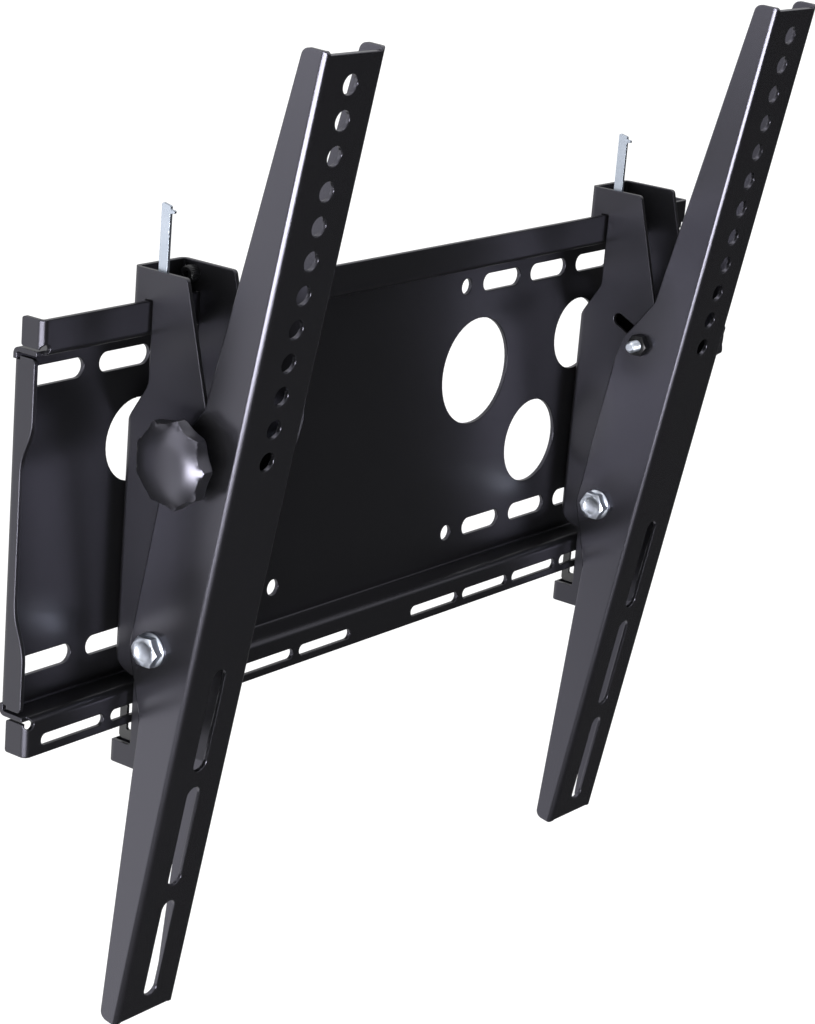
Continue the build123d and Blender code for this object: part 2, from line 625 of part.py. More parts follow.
def make_knob(name, center_x, side):
    """Clamping knob: hollow domed body with scallops round its edge, on a round hub."""
    seat = cross_plane(center_x + side * (ARM_WIDTH / 2 + STUD_WASHER_THICKNESS), STUD_Y, STUD_Z, side)
    body = seat.offset(KNOB_HUB_HEIGHT)
    section = Plane(origin=body.origin, x_dir=(0, 0, 1), z_dir=(0, side, 0))
    crown_radius = KNOB_RADIUS - KNOB_EDGE
    edge_height = KNOB_BODY_HEIGHT - KNOB_CROWN
    sphere = (crown_radius**2 + KNOB_CROWN**2) / KNOB_CROWN / 2
    spread = asin(crown_radius / sphere) / 2
    with BuildPart() as knob:
        with BuildSketch(section):
            with BuildLine():
                Line((0, KNOB_BODY_HEIGHT), (0, 0))
                Line((0, 0), (KNOB_RADIUS, 0))
                Line((KNOB_RADIUS, 0), (KNOB_RADIUS, edge_height - KNOB_EDGE))
                ThreePointArc(
                    (KNOB_RADIUS, edge_height - KNOB_EDGE),
                    (crown_radius + KNOB_EDGE * sin(radians(45)), edge_height - KNOB_EDGE * (1 - sin(radians(45)))),
                    (crown_radius, edge_height),
                )
                ThreePointArc(
                    (crown_radius, edge_height),
                    (sphere * sin(spread), KNOB_BODY_HEIGHT - sphere * (1 - cos(spread))),
                    (0, KNOB_BODY_HEIGHT),
                )
            make_face()
        revolve(axis=Axis(seat.origin, seat.z_dir))
        with BuildSketch(body):
            scallop_reach = KNOB_RADIUS + KNOB_SCALLOP_RADIUS - KNOB_SCALLOP_DEPTH
            with PolarLocations(scallop_reach, KNOB_SCALLOPS, start_angle=KNOB_TURN):
                Circle(KNOB_SCALLOP_RADIUS)
        extrude(amount=KNOB_BODY_HEIGHT, mode=Mode.SUBTRACT)
        with BuildSketch(body):
            Circle(KNOB_RECESS_RADIUS)
        extrude(amount=KNOB_RECESS_DEPTH, mode=Mode.SUBTRACT)
        with BuildSketch(seat):
            Circle(KNOB_HUB_DIAMETER / 2)
        extrude(amount=KNOB_HUB_HEIGHT + KNOB_RECESS_DEPTH + CUT)
        with BuildSketch(seat):
            Circle(STUD_DIAMETER / 2 + HOLE_PLAY)
        extrude(amount=KNOB_STUD_DEPTH + HOLE_PLAY, mode=Mode.SUBTRACT)
    knob.part.label = name
    return knob.part


def make_lock_bar(name, center_x):
    """Lock bar: flat strip beside the left plate that hooks under the lower rail."""
    inner = center_x - BRACKET_WIDTH / 2 + BRACKET_SHEET + LOCK_SIDE_GAP
    back = -RAIL_STANDOFF - LOCK_RAIL_GAP
    front = back - LOCK_WIDTH
    leg_front = -RAIL_STANDOFF + PLATE_SHEET + LOCK_RAIL_GAP
    leg_back = leg_front + LOCK_HOOK_LEG
    top = up(BRACKET_TOP + LOCK_RISE)
    finger = top - LOCK_TIP_FALL
    foot = up(-LOCK_HOOK_DROP)
    small = LOCK_FINGER_HEIGHT / 2
    corners = [
        (back, top, small),
        (front, top - LOCK_TIP_SLOPE, small),
        (front, finger + LOCK_FINGER_HEIGHT, small),
        (front - LOCK_FINGER, finger + LOCK_FINGER_HEIGHT, small * 0.8),
        (front - LOCK_FINGER, finger, small * 0.8),
        (front, finger, small),
        (front, foot, 2),
        (leg_back, foot, 2),
        (leg_back, up(LOCK_HOOK_RISE), LOCK_HOOK_LEG * 0.45),
        (leg_front, up(LOCK_HOOK_RISE), LOCK_HOOK_LEG * 0.45),
        (leg_front, foot + LOCK_HOOK_BAR, 1),
        (back, foot + LOCK_HOOK_BAR, 1),
    ]
    with BuildPart() as bar:
        with BuildSketch(Plane.YZ.offset(inner)):
            add(outline(corners))
        extrude(amount=LOCK_THICKNESS)
    bar.part.label = name
    return bar.part


def make_keepers(name, center_x):
    """Two straps that hold the lock bar against the left plate of its bracket."""
    middle = KEEPER_SHEET / 2
    plate = center_x - BRACKET_WIDTH / 2 + BRACKET_SHEET
    foot = plate + middle
    crest = plate + LOCK_SIDE_GAP + LOCK_THICKNESS + KEEPER_PLAY + middle
    back = -RAIL_STANDOFF - LOCK_RAIL_GAP + KEEPER_PLAY + middle
    front = back - LOCK_WIDTH - 2 * KEEPER_PLAY - 2 * middle
    with BuildPart() as keepers:
        for level in KEEPER_LEVELS:
            with BuildSketch(Plane.XY.offset(up(level - KEEPER_HEIGHT / 2))):
                with BuildLine():
                    FilletPolyline(
                        (foot, front - KEEPER_FOOT),
                        (foot, front),
                        (crest, front),
                        (crest, back),
                        (foot, back),
                        (foot, back + KEEPER_FOOT),
                        radius=KEEPER_SHEET * 0.75,
                    )
                trace(line_width=KEEPER_SHEET)
            extrude(amount=KEEPER_HEIGHT)
    keepers.part.label = name
    return keepers.part


def make_hook_screw(name, center_x):
    """Screw in the far plate of a hook bracket, with its round head inside the channel."""
    face = center_x + BRACKET_WIDTH / 2 - BRACKET_SHEET
    head = cross_plane(face, -HOOK_SCREW_STANDOFF, up(PLATE_HEIGHT + HOOK_SCREW_RISE), -1)
    with BuildPart() as screw:
        with BuildSketch(head):
            Circle(HOOK_SCREW_HEAD_DIAMETER / 2)
        extrude(amount=HOOK_SCREW_HEAD_HEIGHT)
        rim = screw.edges().filter_by(GeomType.CIRCLE).sort_by(Axis.X)[0]
        chamfer(rim, length=TIP_CHAMFER)
        with BuildSketch(head.offset(HOOK_SCREW_HEAD_HEIGHT)):
            RegularPolygon(hexagon(HOOK_SCREW_SOCKET), 6)
        extrude(amount=-HOOK_SCREW_HEAD_HEIGHT / 2, mode=Mode.SUBTRACT)
        with BuildSketch(head):
            Circle(HOOK_SCREW_DIAMETER / 2)
        extrude(amount=-BRACKET_SHEET - HOOK_SCREW_NUT_HEIGHT - TIP_CHAMFER)
    screw.part.label = name
    return screw.part


def labelled(part, name):
    """Part with its node name."""
    part.label = name
    return part


def side_parts(prefix, center_x, side):
    """Every node of one bracket, with its knob on the side that faces away from the middle."""
    outer = ARM_WIDTH / 2
    bracket_outer = BRACKET_WIDTH / 2
    far = center_x - side * (outer)
    pivot_gap = [cross_plane(center_x + way * (outer - ARM_SHEET), PIVOT_Y, PIVOT_Z, -way) for way in (-1, 1)]
    stud_gap = [cross_plane(center_x + way * (outer - ARM_SHEET), STUD_Y, STUD_Z, -way) for way in (-1, 1)]
    pivot_bore = PIVOT_DIAMETER / 2 + HOLE_PLAY
    stud_bore = STUD_DIAMETER / 2 + HOLE_PLAY
    spacer = outer - ARM_SHEET - bracket_outer - SPACER_PLAY
    washer = cross_plane(center_x + outer, PIVOT_Y, PIVOT_Z, 1)
    knob_washer = cross_plane(center_x + side * outer, STUD_Y, STUD_Z, side)
    nut_seat = cross_plane(far, STUD_Y, STUD_Z, -side)
    return [
        make_hook_bracket(prefix + "hook_bracket", center_x, side < 0),
        make_arm(prefix + "arm", center_x),
        make_pivot_bolt(prefix + "pivot_bolt", center_x),
        make_pivot_nut(prefix + "pivot_nut", center_x),
        rings(prefix + "pivot_washer", [washer], PIVOT_WASHER_DIAMETER / 2, pivot_bore, PIVOT_WASHER_THICKNESS),
        rings(prefix + "pivot_spacers", pivot_gap, PIVOT_WASHER_DIAMETER / 2, pivot_bore, spacer),
        make_knob(prefix + "knob", center_x, side),
        make_stud(prefix + "knob_stud", center_x, side),
        rings(prefix + "stud_washer", [knob_washer], STUD_WASHER_DIAMETER / 2, stud_bore, STUD_WASHER_THICKNESS),
        rings(prefix + "stud_spacers", stud_gap, STUD_SPACER_DIAMETER / 2, stud_bore, spacer),
        labelled(hex_block(nut_seat, STUD_NUT_FLATS, STUD_NUT_HEIGHT, stud_bore, 2), prefix + "stud_nut"),
        make_lock_bar(prefix + "lock_bar", center_x),
        make_keepers(prefix + "bar_keepers", center_x),
    ]


def hook_screw_parts():
    """Screw and nut through the far plate of the left bracket."""
    outside = LEFT_BRACKET_X + BRACKET_WIDTH / 2
    seat = cross_plane(outside, -HOOK_SCREW_STANDOFF, up(PLATE_HEIGHT + HOOK_SCREW_RISE), 1)
    bore = HOOK_SCREW_DIAMETER / 2 + HOLE_PLAY
    nut = hex_block(seat, HOOK_SCREW_NUT_FLATS, HOOK_SCREW_NUT_HEIGHT, bore, 2)
    return [make_hook_screw("hook_screw", LEFT_BRACKET_X), labelled(nut, "hook_screw_nut")]


def main():
    """Build every node and write it as its own STEP file."""
    os.makedirs("parts", exist_ok=True)
    nodes = [make_wall_plate()]
    nodes += side_parts("left_", LEFT_BRACKET_X, -1)
    nodes += side_parts("right_", RIGHT_BRACKET_X, 1)
    nodes += hook_screw_parts()
    for node in nodes:
        export_step(node, f"parts/{node.label}.step")


main()
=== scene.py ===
"""Looks of a tilting television wall bracket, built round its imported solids.

The folded plate, brackets and arms keep their solids and get a satin black powder coat. The knobs,
studs, bolts, nuts and the cap screw are modelled here with their scallops, chamfers and threads.
Lengths of pieces are millimetres, turned into metres where a mesh is made, and the studio's lengths
are metres. X runs along the rails, Y into the wall and Z up.
"""

import json
import logging
import math
from collections.abc import Callable, Sequence
from dataclasses import dataclass, replace
from enum import Enum

import bmesh
import bpy
from mathutils import Matrix, Vector

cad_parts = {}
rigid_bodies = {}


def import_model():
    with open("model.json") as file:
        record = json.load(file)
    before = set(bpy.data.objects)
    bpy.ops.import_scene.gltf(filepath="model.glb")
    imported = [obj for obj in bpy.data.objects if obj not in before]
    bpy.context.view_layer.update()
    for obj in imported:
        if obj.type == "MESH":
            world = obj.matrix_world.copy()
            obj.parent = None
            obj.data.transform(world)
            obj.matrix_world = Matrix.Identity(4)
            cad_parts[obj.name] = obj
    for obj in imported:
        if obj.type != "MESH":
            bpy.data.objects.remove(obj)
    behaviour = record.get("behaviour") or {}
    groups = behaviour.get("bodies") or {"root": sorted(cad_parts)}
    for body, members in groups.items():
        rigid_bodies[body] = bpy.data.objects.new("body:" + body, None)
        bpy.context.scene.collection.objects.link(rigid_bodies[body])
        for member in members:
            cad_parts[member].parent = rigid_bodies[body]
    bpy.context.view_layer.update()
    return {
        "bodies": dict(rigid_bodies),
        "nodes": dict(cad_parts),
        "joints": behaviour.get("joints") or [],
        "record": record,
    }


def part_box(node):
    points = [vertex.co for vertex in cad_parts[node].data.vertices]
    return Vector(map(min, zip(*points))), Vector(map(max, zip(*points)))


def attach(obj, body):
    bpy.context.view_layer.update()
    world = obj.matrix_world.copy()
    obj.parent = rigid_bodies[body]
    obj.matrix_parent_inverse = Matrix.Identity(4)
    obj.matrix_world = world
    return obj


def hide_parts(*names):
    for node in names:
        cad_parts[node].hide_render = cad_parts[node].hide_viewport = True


log = logging.getLogger("tilting_wall_bracket")

MM = 0.001
SHARP_ANGLE = math.radians(32)

CLOUD_DETAIL = 4.0
CLOUD_ROUGHNESS = 0.55
GRAIN_DETAIL = 3.0
GRAIN_ROUGHNESS = 0.6
BEVEL_SAMPLES = 8
# Half the height over which a finish's dark lower end fades into its own colour.
DARK_END_FADE_MM = 0.5

# A shank's core lies a little under the root of its thread, and the crest a little under the size.
CORE_SINK = 0.02
CREST_PLAY = 0.01

MATH = "ShaderNodeMath"
ADD = {"operation": "ADD"}
SUBTRACT = {"operation": "SUBTRACT"}
MULTIPLY = {"operation": "MULTIPLY"}
MULTIPLY_CLAMPED = {"operation": "MULTIPLY", "use_clamp": True}
MAXIMUM = {"operation": "MAXIMUM"}
MAP_RANGE = "ShaderNodeMapRange"
SMOOTH = {"interpolation_type": "SMOOTHSTEP"}
COLOUR_MIX = {"data_type": "RGBA"}
VALUE_MIX = {"data_type": "FLOAT"}

Node = bpy.types.ShaderNode | bpy.types.GeometryNode
Ring = Callable[[float], tuple[float, float]]


def linear(hex_colour: str) -> tuple[float, float, float, float]:
    """Turn an sRGB hex colour into linear light.

    Args:
        hex_colour: colour such as "1b1b1d".

    Returns:
        Red, green, blue and an alpha of 1.
    """
    parts = [int(hex_colour[i : i + 2], 16) / 255 for i in (0, 2, 4)]
    light = [p / 12.92 if p <= 0.04045 else ((p + 0.055) / 1.055) ** 2.4 for p in parts]
    return light[0], light[1], light[2], 1.0


def add_node(
    tree: bpy.types.NodeTree, kind: str, settings: dict[str, object] | None = None, **links: object
) -> Node:
    """Add one node with its settings and inputs.

    Args:
        tree: node tree that gets the node.
        kind: node type.
        settings: attributes of the node by name.
        links: inputs by name, spaces as underscores, or by index as i0, i1. A socket is linked
            and anything else becomes the input's own value.

    Returns:
        The new node.
    """
    node = tree.nodes.new(kind)
    for name, value in (settings or {}).items():
        setattr(node, name, value)
    for name, value in links.items():
        place = int(name[1:]) if name[0] == "i" and name[1:].isdigit() else name.replace("_", " ")
        socket = node.inputs[place]
        if isinstance(value, bpy.types.NodeSocket):
            tree.links.new(value, socket)
        else:
            socket.default_value = value
    return node


class Side(Enum):
    """The two sides: name, way outward along X and the knob's first valley in degrees."""

    LEFT = ("left", -1, 2.0)
    RIGHT = ("right", 1, 22.0)

    @property
    def prefix(self) -> str:
        """Start of this side's node and body names."""
        return f"{self.value[0]}_"

    @property
    def outward(self) -> int:
        """-1 or 1: the way from the middle of the wall plate to this side."""
        return self.value[1]

    @property
    def first_valley(self) -> float:
        """Angle of the knob's first valley in degrees, as the solid knob stands at rest."""
        return self.value[2]


@dataclass(frozen=True)
class Finish:
    """A surface finish that becomes one procedural material."""

    name: str
    colour: str
    shade: str
    roughness: float
    roughness_spread: float
    grain_mm: float
    relief_mm: float
    edge_mm: float
    metallic: float = 0.0
    ior: float = 1.5
    specular: float = 0.5
    cloud_mm: float = 40.0
    tint: str = "ffffff"
    # Height below which the colour is drawn dark and not metallic, and that dark colour.
    dip_level_mm: float | None = None
    dip_colour: str = "151516"

    def build(self) -> bpy.types.Material:
        """Build the material.

        Returns:
            Material with clouded colour, grain relief and softened edges.
        """
        material = bpy.data.materials.new(self.name)
        material.use_nodes = True
        tree = material.node_tree
        tree.nodes.clear()
        place = add_node(tree, "ShaderNodeTexCoord").outputs["Object"]
        cloud = add_node(
            tree,
            "ShaderNodeTexNoise",
            Vector=place,
            Scale=1 / (self.cloud_mm * MM),
            Detail=CLOUD_DETAIL,
            Roughness=CLOUD_ROUGHNESS,
        )
        grain = add_node(
            tree,
            "ShaderNodeTexNoise",
            Vector=place,
            Scale=1 / (self.grain_mm * MM),
            Detail=GRAIN_DETAIL,
            Roughness=GRAIN_ROUGHNESS,
        )
        colour = add_node(
            tree,
            "ShaderNodeMix",
            COLOUR_MIX,
            Factor=cloud.outputs["Fac"],
            i6=linear(self.colour),
            i7=linear(self.shade),
        )
        rough = add_node(
            tree,
            MAP_RANGE,
            Value=cloud.outputs["Fac"],
            To_Min=self.roughness - self.roughness_spread,
            To_Max=self.roughness + self.roughness_spread,
        )
        rounded = add_node(tree, "ShaderNodeBevel", {"samples": BEVEL_SAMPLES}, Radius=self.edge_mm * MM)
        bump = add_node(
            tree,
            "ShaderNodeBump",
            Height=grain.outputs["Fac"],
            Distance=self.relief_mm * MM,
            Strength=1.0,
            Normal=rounded.outputs["Normal"],
        )
        base: object = colour.outputs[2]
        metal: object = self.metallic
        # Below a set height the colour is drawn dark and not metallic.
        if self.dip_level_mm is not None:
            zinc_share = self.above_dip(tree, place)
            base = add_node(
                tree,
                "ShaderNodeMix",
                COLOUR_MIX,
                Factor=zinc_share,
                i6=linear(self.dip_colour),
                i7=base,
            ).outputs[2]
            metal = zinc_share
        shader = add_node(
            tree,
            "ShaderNodeBsdfPrincipled",
            Base_Color=base,
            Roughness=rough.outputs["Result"],
            Normal=bump.outputs["Normal"],
            Metallic=metal,
            IOR=self.ior,
            Specular_IOR_Level=self.specular,
            Specular_Tint=linear(self.tint),
        )
        add_node(tree, "ShaderNodeOutputMaterial", Surface=shader.outputs["BSDF"])
        return material

    def above_dip(self, tree: bpy.types.NodeTree, place: bpy.types.NodeSocket) -> bpy.types.NodeSocket:
        """Share of plain zinc colour and metal, 0 below the level where the dark lower end starts and 1
        above it.

        Args:
            tree: the material's node tree.
            place: object coordinates.

        Returns:
            The share's socket.
        """
        height = add_node(tree, "ShaderNodeSeparateXYZ", Vector=place).outputs["Z"]
        below = (self.dip_level_mm - DARK_END_FADE_MM) * MM
        above = (self.dip_level_mm + DARK_END_FADE_MM) * MM
        zinc_share = add_node(tree, MAP_RANGE, Value=height, From_Min=below, From_Max=above)
        return zinc_share.outputs["Result"]


# Epoxy powder coat, sprayed and baked on folded steel: fine orange peel, satin sheen, and a thin
# bright line where the coat rolls over a cut edge.
POWDER_COAT = Finish(
    name="Powder_coat_satin_black",
    colour="0f0f10",
    shade="0c0c0d",
    roughness=0.24,
    roughness_spread=0.015,
    grain_mm=0.9,
    relief_mm=0.010,
    edge_mm=0.8,
    specular=0.9,
    tint="ebe9ff",
)
# The same coat with a flatter sheen, on the wall plate and the hook brackets.
POWDER_COAT_FLAT = replace(
    POWDER_COAT,
    name="Powder_coat_flat_black",
    roughness=0.32,
    roughness_spread=0.02,
    specular=0.52,
)
# Glass-filled nylon, moulded: smoother than the powder coat, with a soft shine on its crown. The
# texture of the mould is too fine to show, so the grain is drawn coarser.
KNOB_NYLON = Finish(
    name="Moulded_nylon_black",
    colour="141416",
    shade="101012",
    roughness=0.3,
    roughness_spread=0.02,
    grain_mm=0.5,
    relief_mm=0.005,
    edge_mm=0.4,
    specular=1.0,
    cloud_mm=15.0,
    tint="ebe9ff",
)
# Steel with clear-passivated zinc plate: bluish white, faintly clouded where it was handled. Its
# crystals are too fine to show, so the grain is drawn coarser.
ZINC_PLATE = Finish(
    name="Zinc_plate_clear",
    colour="d6dbe4",
    shade="bcc3d0",
    roughness=0.36,
    roughness_spread=0.06,
    grain_mm=0.7,
    relief_mm=0.003,
    edge_mm=0.2,
    metallic=1.0,
    cloud_mm=9.0,
)
# The same plate on the lock bars, drawn black and not metallic below a set height near their hooked lower
# ends.
ZINC_DARK_END = replace(
    ZINC_PLATE,
    name="Zinc_plate_dark_lower_end",
    colour="b0b7c2",
    shade="98a0ac",
    roughness=0.42,
    dip_level_mm=-60.0,
)
# Black oxide on small hardware: dark, with a little oil sheen and a grain drawn coarser than real.
BLACK_OXIDE = Finish(
    name="Black_oxide_steel",
    colour="222224",
    shade="18181a",
    roughness=0.34,
    roughness_spread=0.05,
    grain_mm=0.6,
    relief_mm=0.004,
    edge_mm=0.2,
    metallic=0.6,
    cloud_mm=6.0,
)
# Natural nylon: milky, turned spacers and the locking rings of the pivot nuts. The marks of the
# tool are too fine to show, so the grain is drawn coarser.
NATURAL_NYLON = Finish(
    name="Natural_nylon_turned",
    colour="d6d2c6",
    shade="c9c4b6",
    roughness=0.45,
    roughness_spread=0.04,
    grain_mm=0.4,
    relief_mm=0.004,
    edge_mm=0.15,
    cloud_mm=8.0,
)


class Finishes:
    """Every finish, built once and given out by the record's slot."""

    def __init__(self) -> None:
        """Build the materials."""
        self.by_slot = {
            "powder_coat": POWDER_COAT.build(),
            "knob_plastic": KNOB_NYLON.build(),
            "zinc": ZINC_PLATE.build(),
            "black_steel": BLACK_OXIDE.build(),
            "nylon": NATURAL_NYLON.build(),
        }
        flat = POWDER_COAT_FLAT.build()
        dark_end_zinc = ZINC_DARK_END.build()
        self.by_node = {"wall_plate": flat}
        for side in Side:
            self.by_node[f"{side.prefix}hook_bracket"] = flat
            self.by_node[f"{side.prefix}lock_bar"] = dark_end_zinc

    def dress_nodes(self, frame: dict) -> None:
        """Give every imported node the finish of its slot.
        """
        for part in frame["record"]["subparts"]:
            materials = frame["nodes"][part["node"]].data.materials
            materials.clear()
            materials.append(self.by_node.get(part["node"], self.by_slot[part["material_slot"]]))


@dataclass(frozen=True)
class Place:
    """Where a turned piece sits: its first end and the way it runs along X."""

    start: Vector
    way: int

    @classmethod
    def of_node(cls, node: str, way: int) -> "Place":
        """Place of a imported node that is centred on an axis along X.

        Args:
            node: node name.
            way: 1 when the piece is described from its low X end, -1 from its high X end.

        Returns:
            The place.
        """
        low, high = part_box(node)
        middle = (low + high) / 2
        return cls(Vector((low.x if way > 0 else high.x, middle.y, middle.z)), way)

    @property
    def matrix(self) -> Matrix:
        """Matrix from the piece's own axes, in which it runs along +Z, to the frame.

        Returns:
            The matrix, with its place in metres.
        """
        along = Vector((self.way, 0, 0))
        across = Vector((0, 1, 0))
        turn = Matrix((across, along.cross(across), along)).transposed().to_4x4()
        return Matrix.Translation(self.start) @ turn


def point(level: float, radius: float) -> Ring:
    """Ring that is a plain circle.

    Args:
        level: distance along the axis in millimetres.
        radius: radius in millimetres, 0 for the axis itself.

    Returns:
        Function of an angle in radians that gives level and radius.
    """
    return lambda angle: (level, radius)


def hexagon_radius(flats: float, angle: float) -> float:
    """Distance from a hexagon's middle to its outline.

    Args:
        flats: size across flats in millimetres.
        angle: angle in radians, with a corner at 0.

    Returns:
        The distance in millimetres.
    """
    sixth = math.pi / 3
    return flats / 2 / math.cos(angle % sixth - sixth / 2)


def hexagon(level: float, flats: float) -> Ring:
    """Ring that follows a hexagon.

    Args:
        level: distance along the axis in millimetres.
        flats: size across flats in millimetres.

    Returns:
        Ring function.
    """
    return lambda angle: (level, hexagon_radius(flats, angle))


def chamfered_hexagon(level: float, flats: float, rising: int, slope: float = 30.0) -> Ring:
    """Ring where a chamfer cone cuts a hexagon's sides, lowest at its corners.

    Args:
        level: level where the cone meets the middle of a flat, in millimetres.
        flats: size across flats in millimetres.
        rising: 1 when the cone falls away towards higher levels, -1 towards lower ones.
        slope: angle of the cone in degrees.

    Returns:
        Ring function.
    """

    def ring(angle: float) -> tuple[float, float]:
        """Level and radius where the cone meets the hexagon's side."""
        radius = hexagon_radius(flats, angle)
        return level + rising * (radius - flats / 2) * math.tan(math.radians(slope)), radius

    return ring


def soft_min(one: float, other: float, blend: float) -> float:
    """Smaller of two lengths, rounded where they meet.

    Args:
        one: first length.
        other: second length.
        blend: width of the rounding.

    Returns:
        The rounded minimum.
    """
    near = max(blend - abs(one - other), 0.0) / blend
    return min(one, other) - near * near * blend / 4


def turned_mesh(
    name: str, rings: Sequence[Ring], angles: Sequence[float], hole: bool = False
) -> bpy.types.Mesh:
    """Closed mesh round +Z from rings of level and radius.

    Args:
        name: mesh name.
        rings: rings in order, from one end of the outline to the other.
        angles: angles of the ring points in radians.
        hole: whether the outline is a closed loop round a through hole. If not, it starts and
            ends on the axis.

    Returns:
        Mesh in metres with outward normals.
    """
    shape = bmesh.new()
    rows = []
    for index, ring in enumerate(rings):
        if not hole and index in (0, len(rings) - 1):
            level, _ = ring(0.0)
            rows.append([shape.verts.new((0, 0, level * MM))])
            continue
        row = []
        for angle in angles:
            level, radius = (value * MM for value in ring(angle))
            row.append(shape.verts.new((radius * math.cos(angle), radius * math.sin(angle), level)))
        rows.append(row)
    pairs = list(zip(rows, rows[1:], strict=False))
    if hole:
        pairs.append((rows[-1], rows[0]))
    count = len(angles)
    for lower, upper in pairs:
        for i in range(count):
            j = (i + 1) % count
            below = [lower[i % len(lower)], lower[j % len(lower)]]
            above = [upper[j % len(upper)], upper[i % len(upper)]]
            shape.faces.new(list(dict.fromkeys(below + above)))
    bmesh.ops.recalc_face_normals(shape, faces=shape.faces)
    mesh = bpy.data.meshes.new(name)
    shape.to_mesh(mesh)
    shape.free()
    mesh.shade_smooth()
    mesh.set_sharp_from_angle(angle=SHARP_ANGLE)
    return mesh


def even_angles(steps: int) -> list[float]:
    """Evenly spaced angles round a full turn.

    Args:
        steps: number of angles.

    Returns:
        Angles in radians.
    """
    return [2 * math.pi * step / steps for step in range(steps)]


@dataclass(frozen=True)
class Thread:
    """A screw thread on a shank that runs along +Z."""

    start: float
    length: float
    pitch: float
    root_radius: float
    crest_radius: float
    steps_a_turn: int = 28

    def values(self, finish: bpy.types.Material) -> dict[str, object]:
        """Inputs of the thread tree by name.

        Args:
            finish: material of the thread.

        Returns:
            Values, with lengths in metres.
        """
        return {
            "Start": self.start * MM,
            "Length": self.length * MM,
            "Pitch": self.pitch * MM,
            "Root radius": self.root_radius * MM,
            "Crest radius": self.crest_radius * MM,
            "Steps a turn": self.steps_a_turn,
            "Finish": finish,
        }


